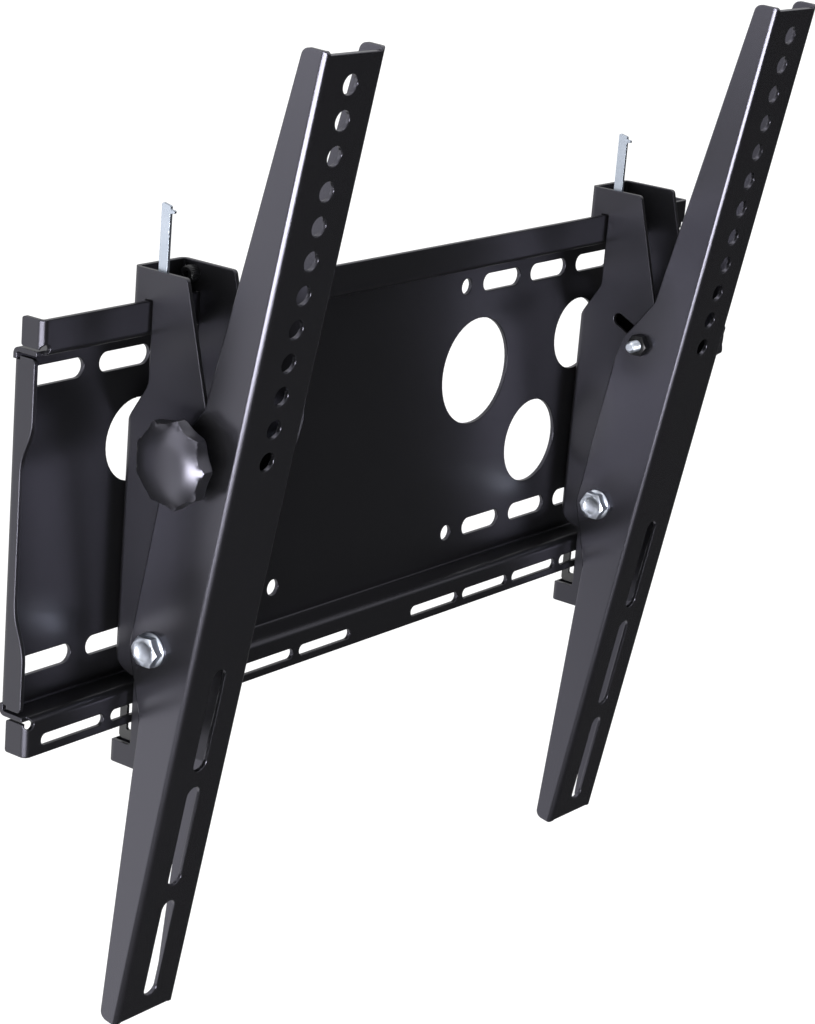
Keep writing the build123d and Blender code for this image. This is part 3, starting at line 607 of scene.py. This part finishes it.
class ThreadTree:
    """Geometry Nodes tree that winds a thread round +Z and joins it to the shank."""

    PROFILE_ROWS = 4
    RUN_OUT_TURNS = 0.5
    WELD_MM = 0.002

    def __init__(self) -> None:
        """Build the tree with its named inputs."""
        tree = bpy.data.node_groups.new("Screw_thread", "GeometryNodeTree")
        self.tree = tree
        tree.interface.new_socket(name="Shank", in_out="INPUT", socket_type="NodeSocketGeometry")
        for name in ("Start", "Length", "Pitch", "Root radius", "Crest radius"):
            tree.interface.new_socket(name=name, in_out="INPUT", socket_type="NodeSocketFloat")
        tree.interface.new_socket(name="Steps a turn", in_out="INPUT", socket_type="NodeSocketInt")
        tree.interface.new_socket(name="Finish", in_out="INPUT", socket_type="NodeSocketMaterial")
        tree.interface.new_socket(name="Screw", in_out="OUTPUT", socket_type="NodeSocketGeometry")
        given = add_node(tree, "NodeGroupInput").outputs
        pitches = add_node(tree, MATH, {"operation": "DIVIDE"}, i0=given["Length"], i1=given["Pitch"])
        whole = add_node(tree, MATH, {"operation": "FLOOR"}, i0=pitches.outputs[0])
        turns = add_node(tree, MATH, SUBTRACT, i0=whole.outputs[0], i1=1.0).outputs[0]
        steps = add_node(tree, MATH, MULTIPLY, i0=turns, i1=given["Steps a turn"])
        strip = add_node(
            tree,
            "GeometryNodeMeshGrid",
            Size_X=1.0,
            Size_Y=1.0,
            Vertices_X=add_node(tree, MATH, ADD, i0=steps.outputs[0], i1=1.0).outputs[0],
            Vertices_Y=self.PROFILE_ROWS,
        )
        placed = add_node(
            tree,
            "GeometryNodeSetPosition",
            Geometry=strip.outputs["Mesh"],
            Position=self.wound(given, turns),
        )
        welded = add_node(
            tree,
            "GeometryNodeMergeByDistance",
            Geometry=placed.outputs["Geometry"],
            Distance=self.WELD_MM * MM,
        )
        joined = add_node(tree, "GeometryNodeJoinGeometry")
        tree.links.new(given["Shank"], joined.inputs["Geometry"])
        tree.links.new(welded.outputs["Geometry"], joined.inputs["Geometry"])
        screw = add_node(tree, "GeometryNodeRealizeInstances", Geometry=joined.outputs["Geometry"])
        finished = add_node(
            tree,
            "GeometryNodeSetMaterial",
            Geometry=screw.outputs["Geometry"],
            Material=given["Finish"],
        )
        add_node(tree, "NodeGroupOutput", Screw=finished.outputs["Geometry"])

    def wound(self, given: bpy.types.NodeOutputs, turns: bpy.types.NodeSocket) -> bpy.types.NodeSocket:
        """Place of each point of the flat strip once it is wound round the shank.

        Args:
            given: outputs of the tree's own inputs.
            turns: socket of the number of turns.

        Returns:
            The position's socket.
        """
        tree = self.tree
        at = add_node(tree, "GeometryNodeInputPosition").outputs[0]
        spot = add_node(tree, "ShaderNodeSeparateXYZ", Vector=at).outputs
        along = add_node(tree, MATH, ADD, i0=spot["X"], i1=0.5).outputs[0]
        across = add_node(tree, MATH, ADD, i0=spot["Y"], i1=0.5).outputs[0]
        turned = add_node(tree, MATH, MULTIPLY, i0=along, i1=turns).outputs[0]
        angle = add_node(tree, MATH, MULTIPLY, i0=turned, i1=2 * math.pi).outputs[0]
        climbed = add_node(tree, MATH, ADD, i0=turned, i1=across).outputs[0]
        climb = add_node(tree, MATH, MULTIPLY, i0=climbed, i1=given["Pitch"]).outputs[0]
        level = add_node(tree, MATH, ADD, i0=climb, i1=given["Start"]).outputs[0]
        rows = float(self.PROFILE_ROWS - 1)
        flank = add_node(tree, MATH, MULTIPLY_CLAMPED, i0=self.near_end(across), i1=rows).outputs[0]
        left = add_node(tree, MATH, MULTIPLY, i0=self.near_end(along), i1=turns).outputs[0]
        run_out = add_node(tree, MATH, MULTIPLY_CLAMPED, i0=left, i1=1 / self.RUN_OUT_TURNS).outputs[0]
        depth = add_node(tree, MATH, SUBTRACT, i0=given["Crest radius"], i1=given["Root radius"]).outputs[0]
        share = add_node(tree, MATH, MULTIPLY, i0=flank, i1=run_out).outputs[0]
        rise = add_node(tree, MATH, MULTIPLY, i0=share, i1=depth).outputs[0]
        radius = add_node(tree, MATH, ADD, i0=given["Root radius"], i1=rise).outputs[0]
        cosine = add_node(tree, MATH, {"operation": "COSINE"}, i0=angle).outputs[0]
        sine = add_node(tree, MATH, {"operation": "SINE"}, i0=angle).outputs[0]
        place = add_node(
            tree,
            "ShaderNodeCombineXYZ",
            X=add_node(tree, MATH, MULTIPLY, i0=radius, i1=cosine).outputs[0],
            Y=add_node(tree, MATH, MULTIPLY, i0=radius, i1=sine).outputs[0],
            Z=level,
        )
        return place.outputs["Vector"]

    def near_end(self, share: bpy.types.NodeSocket) -> bpy.types.NodeSocket:
        """Distance of a share to its nearer end, 0 at both ends.

        Args:
            share: socket of a value from 0 to 1.

        Returns:
            The result's socket.
        """
        rest = add_node(self.tree, MATH, SUBTRACT, i0=1.0, i1=share)
        return add_node(self.tree, MATH, {"operation": "MINIMUM"}, i0=share, i1=rest.outputs[0]).outputs[0]

    def wind(self, mesh: bpy.types.Mesh, thread: Thread, finish: bpy.types.Material) -> bpy.types.Mesh:
        """Add a thread to a shank.

        Args:
            mesh: shank that runs along +Z.
            thread: sizes of the thread.
            finish: material of the whole screw.

        Returns:
            Plain mesh of shank and thread.
        """
        holder = bpy.data.objects.new(mesh.name, mesh)
        bpy.context.scene.collection.objects.link(holder)
        modifier = holder.modifiers.new("Thread", "NODES")
        modifier.node_group = self.tree
        given = thread.values(finish)
        for item in self.tree.interface.items_tree:
            if item.in_out == "INPUT" and item.name in given:
                modifier[item.identifier] = given[item.name]
        ready = holder.evaluated_get(bpy.context.evaluated_depsgraph_get())
        screw = bpy.data.meshes.new_from_object(ready)
        holder.modifiers.clear()
        bpy.data.objects.remove(holder)
        screw.set_sharp_from_angle(angle=SHARP_ANGLE)
        return screw


@dataclass(frozen=True)
class Workshop:
    """What every piece needs: the finishes and the thread tree."""

    finishes: Finishes
    threads: ThreadTree

    def finish(self, slot: str) -> bpy.types.Material:
        """Material of a slot.

        Args:
            slot: slot name.

        Returns:
            The material.
        """
        return self.finishes.by_slot[slot]

    def fit(
        self, mesh: bpy.types.Mesh, name: str, place: Place, body: str, slot: str, node: str = ""
    ) -> None:
        """Turn a mesh into a piece that rides on a body.

        Args:
            mesh: mesh along +Z.
            name: piece name.
            place: where it sits.
            body: body that it moves with.
            slot: material slot.
            node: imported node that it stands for, if any.
        """
        mesh.transform(place.matrix)
        mesh.materials.clear()
        mesh.materials.append(self.finish(slot))
        piece = bpy.data.objects.new(name, mesh)
        bpy.context.scene.collection.objects.link(piece)
        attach(piece, body)
        if node:
            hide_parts(node)
        log.info("%s rides on %s", name, body)


@dataclass(frozen=True)
class Knob:
    """Clamping knob: a domed body with scallops in its edge, on a hub."""

    first_valley: float
    radius: float = 19.6
    height: float = 9.4
    crown: float = 3.8
    crown_power: float = 3.2
    edge: float = 0.9
    scallops: int = 9
    scallop_depth_low: float = 1.9
    scallop_depth_high: float = 2.3
    cusp_softness: float = 0.05
    blend: float = 0.25
    hub_radius: float = 8.5
    hub_height: float = 6.8
    recess_radius: float = 13.4
    recess_depth: float = 4.6
    bore_radius: float = 3.05
    bore_depth: float = 9.0
    rim: float = 0.5
    soft_edge: float = 0.3
    steps_a_scallop: int = 24
    wall_steps: int = 10
    dome_steps: int = 14

    def angles(self) -> list[float]:
        """Angles that crowd towards the cusps between scallops.

        Returns:
            Angles in radians.
        """
        found = []
        pitch = 2 * math.pi / self.scallops
        for scallop in range(self.scallops):
            for step in range(self.steps_a_scallop):
                share = 2 * step / self.steps_a_scallop - 1
                crowded = math.sin(share * math.pi / 2)
                found.append(math.radians(self.first_valley) + pitch * (scallop + crowded / 2))
        return found

    def edge_reach(self, level: float, angle: float) -> float:
        """How far the scalloped wall is from the axis.

        Args:
            level: height above the hub.
            angle: angle in radians.

        Returns:
            Distance in millimetres.
        """
        pitch = 2 * math.pi / self.scallops
        turned = (angle - math.radians(self.first_valley) + pitch / 2) % pitch - pitch / 2
        valley = 1 - (2 * turned / pitch) ** 2
        softened = valley * valley / (valley + self.cusp_softness)
        share = min(max(level / (self.height - self.crown), 0.0), 1.0)
        depth = self.scallop_depth_low + (self.scallop_depth_high - self.scallop_depth_low) * share
        return self.radius - depth * softened

    def scalloped(self, level: float, radius: float) -> Ring:
        """Ring of the body's outside, held inside the scalloped wall.

        Args:
            level: height above the hub.
            radius: radius before the scallops are cut.

        Returns:
            Ring function.
        """

        def ring(angle: float) -> tuple[float, float]:
            """Level and radius of the body at an angle."""
            reach = self.edge_reach(level, angle)
            return self.hub_height + level, soft_min(radius, reach, self.blend)

        return ring

    def outside(self) -> list[Ring]:
        """Rings from the base rim up the wall and over the dome.

        Returns:
            Ring functions in order.
        """
        shoulder = self.height - self.crown
        wall_top = shoulder - self.edge
        rings = [self.scalloped(0.0, self.radius - self.rim)]
        for step in range(self.wall_steps + 1):
            level = self.rim + (wall_top - self.rim) * step / self.wall_steps
            rings.append(self.scalloped(level, self.radius))
        for step in range(1, self.wall_steps + 1):
            bend = math.pi / 2 * step / self.wall_steps
            radius = self.radius - self.edge * (1 - math.cos(bend))
            rings.append(self.scalloped(wall_top + self.edge * math.sin(bend), radius))
        face = self.radius - self.edge
        for step in range(1, self.dome_steps):
            radius = face * (1 - step / self.dome_steps)
            rise = self.crown * (1 - (radius / face) ** self.crown_power)
            rings.append(self.scalloped(shoulder + rise, radius))
        return rings

    def mesh(self, name: str) -> bpy.types.Mesh:
        """Build the knob along +Z with its seat at 0.

        Args:
            name: mesh name.

        Returns:
            The mesh.
        """
        soft = self.soft_edge
        roof = self.hub_height + self.recess_depth
        rings = [
            point(self.bore_depth, 0.0),
            point(self.bore_depth, self.bore_radius),
            point(soft, self.bore_radius),
            point(0.0, self.bore_radius + soft),
            point(0.0, self.hub_radius - soft),
            point(soft, self.hub_radius),
            point(roof, self.hub_radius),
            point(roof, self.recess_radius),
            point(self.hub_height + soft, self.recess_radius),
            point(self.hub_height, self.recess_radius + soft),
            *self.outside(),
            point(self.hub_height + self.height, 0.0),
        ]
        return turned_mesh(name, rings, self.angles())


@dataclass(frozen=True)
class ClampStud:
    """Fully threaded stud from the knob through bracket and arm."""

    length: float = 58.3
    root_radius: float = 2.46
    crest_radius: float = 2.99
    pitch: float = 1.0
    chamfer: float = 0.5
    steps: int = 40

    def mesh(self, name: str, workshop: Workshop) -> bpy.types.Mesh:
        """Build the stud along +Z.

        Args:
            name: mesh name.
            workshop: finishes and thread tree.

        Returns:
            The mesh.
        """
        core = self.root_radius - CORE_SINK
        rings = [
            point(0.0, 0.0),
            point(0.0, core - self.chamfer),
            point(self.chamfer, core),
            point(self.length - self.chamfer, core),
            point(self.length, core - self.chamfer),
            point(self.length, 0.0),
        ]
        shank = turned_mesh(name, rings, even_angles(self.steps))
        margin = self.chamfer / 2
        length = self.length - 2 * margin
        thread = Thread(margin, length, self.pitch, self.root_radius, self.crest_radius)
        return workshop.threads.wind(shank, thread, workshop.finish("zinc"))


@dataclass(frozen=True)
class FlangeBolt:
    """Hexagon flange bolt with a dished head."""

    length: float = 55.0
    diameter: float = 8.0
    flats: float = 13.0
    head_height: float = 5.3
    flange_radius: float = 7.8
    flange_height: float = 1.2
    flange_rim: float = 0.7
    flange_edge: float = 0.15
    flange_slope: tuple[float, float] = (0.15, 0.35)
    crown_share: float = 0.94
    corner_chamfer: float = 0.25
    hexagon_foot: float = 0.2
    dish_radius: float = 4.0
    dish_depth: float = 0.5
    dish_slope: float = 0.7
    dish_shoulder: float = 0.2
    dish_lip: float = 0.5
    run_out: float = 0.5
    root_radius: float = 3.35
    pitch: float = 1.25
    thread_length: float = 21.25
    tip: float = 0.7
    steps: int = 96

    def mesh(self, name: str, workshop: Workshop) -> bpy.types.Mesh:
        """Build the bolt along +Z with the top of its head at 0.

        Args:
            name: mesh name.
            workshop: finishes and thread tree.

        Returns:
            The mesh.
        """
        shank = self.diameter / 2
        crown = self.flats / 2 * self.crown_share
        slope_rise, slope_in = self.flange_slope
        collar = self.head_height - self.flange_height
        thread_start = self.length - self.thread_length - self.tip / 2
        core = self.root_radius - CORE_SINK
        rings = [
            point(self.dish_depth, 0.0),
            point(self.dish_depth, self.dish_radius - self.dish_slope),
            point(self.dish_shoulder, self.dish_radius),
            point(0.0, self.dish_radius + self.dish_lip),
            point(0.0, crown),
            chamfered_hexagon(self.corner_chamfer, self.flats, 1),
            hexagon(collar - self.hexagon_foot, self.flats),
            point(collar + slope_rise, self.flange_radius - slope_in),
            point(self.head_height - self.flange_rim, self.flange_radius),
            point(self.head_height - self.flange_edge, self.flange_radius),
            point(self.head_height, self.flange_radius - self.flange_edge),
            point(self.head_height, shank),
            point(thread_start - self.run_out, shank),
            point(thread_start, core),
            point(self.length - self.tip, core),
            point(self.length, core - self.tip),
            point(self.length, 0.0),
        ]
        mesh = turned_mesh(name, rings, even_angles(self.steps))
        crest = shank - CREST_PLAY
        thread = Thread(thread_start, self.thread_length, self.pitch, self.root_radius, crest)
        return workshop.threads.wind(mesh, thread, workshop.finish("zinc"))


@dataclass(frozen=True)
class LockNut:
    """Hexagon nut with a rolled collar that holds a nylon ring."""

    flats: float = 13.0
    height: float = 8.0
    hexagon_height: float = 6.2
    bore_radius: float = 4.05
    collar_radius: float = 6.1
    collar_foot: float = 0.2
    collar_roll: float = 0.7
    collar_lip: tuple[float, float] = (0.2, 0.25)
    bore_chamfer: float = 0.4
    seat_share: float = 0.95
    top_share: float = 0.97
    corner_chamfer: float = 0.2
    ring_radius: float = 5.3
    ring_seat: float = 0.6
    ring_sink: float = 0.5
    ring_crown: float = 0.15
    ring_play: tuple[float, float, float] = (0.05, 0.02, 0.03)
    steps: int = 96

    def mesh(self, name: str) -> bpy.types.Mesh:
        """Build the nut along +Z with its seat at 0.

        Args:
            name: mesh name.

        Returns:
            The mesh.
        """
        ring_floor = self.hexagon_height - self.ring_seat
        lip_drop, lip_in = self.collar_lip
        rings = [
            point(self.bore_chamfer, self.bore_radius),
            point(0.0, self.bore_radius + self.bore_chamfer),
            point(0.0, self.flats / 2 * self.seat_share),
            chamfered_hexagon(self.corner_chamfer, self.flats, 1),
            chamfered_hexagon(self.hexagon_height - self.corner_chamfer, self.flats, -1),
            point(self.hexagon_height, self.flats / 2 * self.top_share),
            point(self.hexagon_height + self.collar_foot, self.collar_radius),
            point(self.height - self.collar_roll, self.collar_radius),
            point(self.height - lip_drop, self.collar_radius - lip_in),
            point(self.height, self.collar_radius - self.collar_roll),
            point(self.height - lip_drop, self.ring_radius),
            point(ring_floor, self.ring_radius),
            point(ring_floor, self.bore_radius),
        ]
        return turned_mesh(name, rings, even_angles(self.steps), hole=True)

    def ring_mesh(self, name: str) -> bpy.types.Mesh:
        """Build the nylon ring in the nut's collar.

        Args:
            name: mesh name.

        Returns:
            The mesh.
        """
        below, inside, outside = self.ring_play
        floor = self.hexagon_height - self.ring_seat + below
        top = self.height - self.ring_sink
        outer = self.ring_radius - outside
        inner = self.bore_radius + inside
        rings = [
            point(floor, inner),
            point(floor, outer),
            point(top, outer),
            point(top + self.ring_crown, (inner + outer) / 2),
            point(top, inner),
        ]
        return turned_mesh(name, rings, even_angles(self.steps), hole=True)


@dataclass(frozen=True)
class HexNut:
    """Plain hexagon nut with both faces chamfered."""

    flats: float
    height: float
    bore_radius: float
    bore_chamfer: float = 0.3
    corner_chamfer: float = 0.15
    face_share: float = 0.95
    steps: int = 72

    def mesh(self, name: str) -> bpy.types.Mesh:
        """Build the nut along +Z.

        Args:
            name: mesh name.

        Returns:
            The mesh.
        """
        face = self.flats / 2 * self.face_share
        rings = [
            point(self.bore_chamfer, self.bore_radius),
            point(0.0, self.bore_radius + self.bore_chamfer),
            point(0.0, face),
            chamfered_hexagon(self.corner_chamfer, self.flats, 1),
            chamfered_hexagon(self.height - self.corner_chamfer, self.flats, -1),
            point(self.height, face),
            point(self.height, self.bore_radius + self.bore_chamfer),
            point(self.height - self.bore_chamfer, self.bore_radius),
        ]
        return turned_mesh(name, rings, even_angles(self.steps), hole=True)


@dataclass(frozen=True)
class CapScrew:
    """Small socket head screw with a grooved head."""

    head_radius: float = 3.7
    head_height: float = 5.0
    shank_radius: float = 2.0
    root_radius: float = 1.62
    pitch: float = 0.7
    length: float = 10.8
    socket_flats: float = 3.0
    socket_depth: float = 2.6
    socket_cone: float = 0.5
    grooves: int = 24
    steps_a_groove: int = 6
    groove_depth: float = 0.22
    groove_end: float = 0.1
    plain_band: float = 0.7
    plain_shank: float = 2.0
    run_out: float = 0.3
    thread_margins: tuple[float, float] = (0.1, 0.2)
    chamfer: float = 0.4

    def grooved(self, level: float) -> Ring:
        """Ring of the head's side, in and out at every groove.

        Args:
            level: distance along the axis in millimetres.

        Returns:
            Ring function.
        """

        def ring(angle: float) -> tuple[float, float]:
            """Level and radius of the grooved side at an angle."""
            wave = abs(math.sin(angle * self.grooves / 2))
            return level, self.head_radius - self.groove_depth * (1 - wave)

        return ring

    def mesh(self, name: str, workshop: Workshop) -> bpy.types.Mesh:
        """Build the screw along +Z with the top of its head at 0.

        Args:
            name: mesh name.
            workshop: finishes and thread tree.

        Returns:
            The mesh.
        """
        core = self.root_radius - CORE_SINK
        plain = self.head_radius - self.groove_depth
        band = self.head_height - self.plain_band
        neck = self.head_height + self.plain_shank
        rings = [
            point(self.socket_depth + self.socket_cone, 0.0),
            hexagon(self.socket_depth, self.socket_flats),
            hexagon(0.0, self.socket_flats),
            point(0.0, plain - self.chamfer),
            point(self.chamfer, plain),
            self.grooved(self.chamfer + self.groove_end),
            self.grooved(band),
            point(band + self.groove_end, plain),
            point(self.head_height, plain),
            point(self.head_height, self.shank_radius),
            point(neck, self.shank_radius),
            point(neck + self.run_out, core),
            point(self.length - self.chamfer, core),
            point(self.length, core - self.chamfer),
            point(self.length, 0.0),
        ]
        mesh = turned_mesh(name, rings, even_angles(self.grooves * self.steps_a_groove))
        lead, tail = self.thread_margins
        start = neck + lead
        crest = self.shank_radius - CREST_PLAY
        thread = Thread(start, self.length - start - tail, self.pitch, self.root_radius, crest)
        return workshop.threads.wind(mesh, thread, workshop.finish("black_steel"))


@dataclass
class SideHardware:
    """Knob, stud, bolt and nuts of one side."""

    side: Side
    workshop: Workshop

    def build(self) -> None:
        """Build the side's pieces and fit them to their bodies."""
        prefix = self.side.prefix
        outward = self.side.outward
        fit = self.workshop.fit
        stud = Place.of_node(f"{prefix}knob_stud", outward)
        washer_low, washer_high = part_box(f"{prefix}stud_washer")
        seat_x = washer_high.x if outward > 0 else washer_low.x
        knob_place = Place(Vector((seat_x, stud.start.y, stud.start.z)), outward)
        clamp, arm = f"{prefix}clamp", f"{prefix}tilting_arm"
        knob = Knob(first_valley=self.side.first_valley).mesh(f"{prefix}scalloped_knob")
        fit(knob, f"{prefix}scalloped_knob", knob_place, clamp, "knob_plastic", f"{prefix}knob")
        stud_mesh = ClampStud().mesh(f"{prefix}threaded_stud", self.workshop)
        fit(stud_mesh, f"{prefix}threaded_stud", stud, clamp, "zinc", f"{prefix}knob_stud")
        stud_nut = HexNut(flats=10.0, height=4.0, bore_radius=3.05).mesh(f"{prefix}chamfered_stud_nut")
        nut_place = Place.of_node(f"{prefix}stud_nut", 1)
        fit(stud_nut, f"{prefix}chamfered_stud_nut", nut_place, arm, "black_steel", f"{prefix}stud_nut")
        bolt = FlangeBolt().mesh(f"{prefix}flange_bolt", self.workshop)
        bolt_place = Place.of_node(f"{prefix}pivot_bolt", 1)
        fit(bolt, f"{prefix}flange_bolt", bolt_place, arm, "zinc", f"{prefix}pivot_bolt")
        lock_place = Place.of_node(f"{prefix}pivot_nut", 1)
        lock_nut = LockNut().mesh(f"{prefix}lock_nut")
        fit(lock_nut, f"{prefix}lock_nut", lock_place, arm, "zinc", f"{prefix}pivot_nut")
        lock_ring = LockNut().ring_mesh(f"{prefix}lock_ring")
        fit(lock_ring, f"{prefix}lock_ring", lock_place, arm, "nylon")


@dataclass
class HookScrew:
    """The cap screw and nut on the left bracket."""

    workshop: Workshop

    def build(self) -> None:
        """Build the screw and its nut."""
        fit = self.workshop.fit
        body = f"{Side.LEFT.prefix}bracket"
        screw = CapScrew().mesh("grooved_cap_screw", self.workshop)
        fit(screw, "grooved_cap_screw", Place.of_node("hook_screw", 1), body, "black_steel", "hook_screw")
        nut = HexNut(flats=7.0, height=3.0, bore_radius=2.05).mesh("chamfered_screw_nut")
        nut_place = Place.of_node("hook_screw_nut", 1)
        fit(nut, "chamfered_screw_nut", nut_place, body, "black_steel", "hook_screw_nut")


@dataclass(frozen=True)
class Lamp:
    """A rectangular soft box that points at the middle of the wall plate."""

    name: str
    place: tuple[float, float, float]
    size: tuple[float, float]
    watts: float

    def build(self) -> None:
        """Build the lamp, unseen by the camera."""
        data = bpy.data.lights.new(self.name, "AREA")
        data.shape = "RECTANGLE"
        data.size, data.size_y = self.size
        data.energy = self.watts
        lamp = bpy.data.objects.new(self.name, data)
        lamp.location = self.place
        lamp.rotation_euler = (-Vector(self.place)).to_track_quat("-Z", "Y").to_euler()
        lamp.visible_camera = False
        bpy.context.scene.collection.objects.link(lamp)


# A long strip box low at the left front draws the bright lines on the bends, and two soft boxes fill.
LAMPS = (
    Lamp("Strip_left_front", (-1.5, -0.6, -0.36), (1.9, 0.34), 60.0),
    Lamp("Softbox_left", (-2.0, 0.9, 0.5), (1.2, 1.2), 8.0),
    Lamp("Softbox_top", (-0.3, -0.2, 2.2), (1.6, 1.6), 14.0),
)


@dataclass
class Studio:
    """Floor, white surround and soft lamps.

    Each reach is the pair of direction values, from 0 across the axis to 1 along it, between which
    a part of the surround fades in or out.
    """

    floor_height: float = -0.62
    floor_size: float = 14.0
    floor_glow: float = 1.15
    floor_paper: str = "f4f4f4"
    floor_fade: tuple[float, float] = (1.2, 4.0)
    floor_near_share: float = 0.8
    dark_side: float = 0.07
    wall_side_reach: tuple[float, float] = (0.24, 0.44)
    backdrop_left: float = 1.55
    backdrop_right: float = 0.5
    backdrop_reach: tuple[float, float] = (-0.5, 0.3)
    backdrop_end_share: float = 0.22
    backdrop_end_reach: tuple[float, float] = (-0.86, -0.75)
    ceiling: float = 1.1
    ceiling_reach: tuple[float, float] = (0.1, 0.45)

    def build_world(self) -> None:
        """White surround for the camera, and a bright backdrop on the wall side for gloss.

        Glossy rays don't see the white, which would lift the satin black coat to grey.
        """
        world = bpy.data.worlds.new("Studio")
        bpy.context.scene.world = world
        world.use_nodes = True
        tree = world.node_tree
        tree.nodes.clear()
        path = add_node(tree, "ShaderNodeLightPath")
        way = add_node(tree, "ShaderNodeTexCoord").outputs["Generated"]
        parts = add_node(tree, "ShaderNodeSeparateXYZ", Vector=way).outputs
        fades = []
        for axis, reach, levels in (
            ("Y", self.wall_side_reach, (0.0, 1.0)),
            ("X", self.backdrop_reach, (self.backdrop_left, self.backdrop_right)),
            ("X", self.backdrop_end_reach, (self.backdrop_end_share, 1.0)),
            ("Z", self.ceiling_reach, (self.dark_side, self.ceiling)),
        ):
            fade = add_node(
                tree,
                MAP_RANGE,
                SMOOTH,
                Value=parts[axis],
                From_Min=reach[0],
                From_Max=reach[1],
                To_Min=levels[0],
                To_Max=levels[1],
            )
            fades.append(fade.outputs["Result"])
        wall_side, across, end, above = fades
        backdrop = add_node(tree, MATH, MULTIPLY, i0=across, i1=end)
        round_about = add_node(
            tree,
            "ShaderNodeMix",
            VALUE_MIX,
            i0=wall_side,
            i2=self.dark_side,
            i3=backdrop.outputs[0],
        )
        level = add_node(tree, MATH, MAXIMUM, i0=round_about.outputs[0], i1=above)
        seen = add_node(
            tree,
            MATH,
            MAXIMUM,
            i0=path.outputs["Is Camera Ray"],
            i1=path.outputs["Is Transmission Ray"],
        )
        strength = add_node(
            tree,
            "ShaderNodeMix",
            VALUE_MIX,
            i0=seen.outputs[0],
            i2=level.outputs[0],
            i3=1.0,
        )
        white = linear("ffffff")
        light = add_node(tree, "ShaderNodeBackground", Color=white, Strength=strength.outputs[0])
        add_node(tree, "ShaderNodeOutputWorld", Surface=light.outputs["Background"])

    def build_floor(self) -> None:
        """Pale floor that keeps a faint shadow and reads as white."""
        mesh = bpy.data.meshes.new("Studio_floor")
        half = self.floor_size / 2
        z = self.floor_height
        corners = [(-half, -half, z), (half, -half, z), (half, half, z), (-half, half, z)]
        mesh.from_pydata(corners, [], [(0, 1, 2, 3)])
        floor = bpy.data.objects.new("Studio_floor", mesh)
        floor.visible_glossy = False
        bpy.context.scene.collection.objects.link(floor)
        material = bpy.data.materials.new("Studio_paper")
        material.use_nodes = True
        tree = material.node_tree
        tree.nodes.clear()
        path = add_node(tree, "ShaderNodeLightPath")
        paper = add_node(tree, "ShaderNodeBsdfDiffuse", Color=linear(self.floor_paper))
        glow = add_node(tree, "ShaderNodeEmission", Color=linear("ffffff"), Strength=self.floor_glow)
        place = add_node(tree, "ShaderNodeTexCoord").outputs["Object"]
        reach = add_node(tree, "ShaderNodeVectorMath", {"operation": "LENGTH"}, i0=place)
        near, far = self.floor_fade
        fade = add_node(
            tree,
            MAP_RANGE,
            SMOOTH,
            Value=reach.outputs["Value"],
            From_Min=near,
            From_Max=far,
            To_Min=self.floor_near_share,
            To_Max=1.0,
        )
        share = add_node(
            tree,
            MATH,
            MULTIPLY,
            i0=path.outputs["Is Camera Ray"],
            i1=fade.outputs["Result"],
        )
        mix = add_node(
            tree,
            "ShaderNodeMixShader",
            i0=share.outputs[0],
            i1=paper.outputs["BSDF"],
            i2=glow.outputs["Emission"],
        )
        add_node(tree, "ShaderNodeOutputMaterial", Surface=mix.outputs["Shader"])
        mesh.materials.append(material)

    def build(self) -> None:
        """Build the whole studio."""
        self.build_world()
        self.build_floor()
        for lamp in LAMPS:
            lamp.build()
        bpy.context.scene.view_settings.view_transform = "Standard"
        log.info("studio ready")


@dataclass
class PhotoCamera:
    """Camera at the photograph's viewpoint."""

    place: tuple[float, float, float] = (-1.039, -0.797, 0.3675)
    yaw: float = 53.45
    pitch: float = 17.07
    roll: float = 4.77
    focal_pixels: float = 2846.0
    long_side_pixels: float = 1024.0
    sensor_mm: float = 36.0
    clip: tuple[float, float] = (0.05, 60.0)

    def build(self) -> None:
        """Create the camera and make it the scene's own."""
        yaw, pitch, roll = (math.radians(angle) for angle in (self.yaw, self.pitch, self.roll))
        level = math.cos(pitch)
        ahead = Vector((math.sin(yaw) * level, math.cos(yaw) * level, -math.sin(pitch)))
        right = Vector((math.cos(yaw), -math.sin(yaw), 0.0))
        above = right.cross(ahead)
        right_rolled = math.cos(roll) * right + math.sin(roll) * above
        above_rolled = -math.sin(roll) * right + math.cos(roll) * above
        data = bpy.data.cameras.new("Photo_camera")
        data.sensor_width = self.sensor_mm
        data.lens = self.sensor_mm * self.focal_pixels / self.long_side_pixels
        data.clip_start, data.clip_end = self.clip
        camera = bpy.data.objects.new("Photo_camera", data)
        turn = Matrix((right_rolled, above_rolled, -ahead)).transposed().to_4x4()
        camera.matrix_world = Matrix.Translation(self.place) @ turn
        bpy.context.scene.collection.objects.link(camera)
        bpy.context.scene.camera = camera
        log.info("camera ready")


def main() -> None:
    """Build the scene in order and report each step."""
    logging.basicConfig(level=logging.INFO)
    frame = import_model()
    PhotoCamera().build()
    Studio().build()
    finishes = Finishes()
    finishes.dress_nodes(frame)
    workshop = Workshop(finishes, ThreadTree())
    for side in Side:
        SideHardware(side, workshop).build()
    HookScrew(workshop).build()


if __name__ == "__main__":
    main()
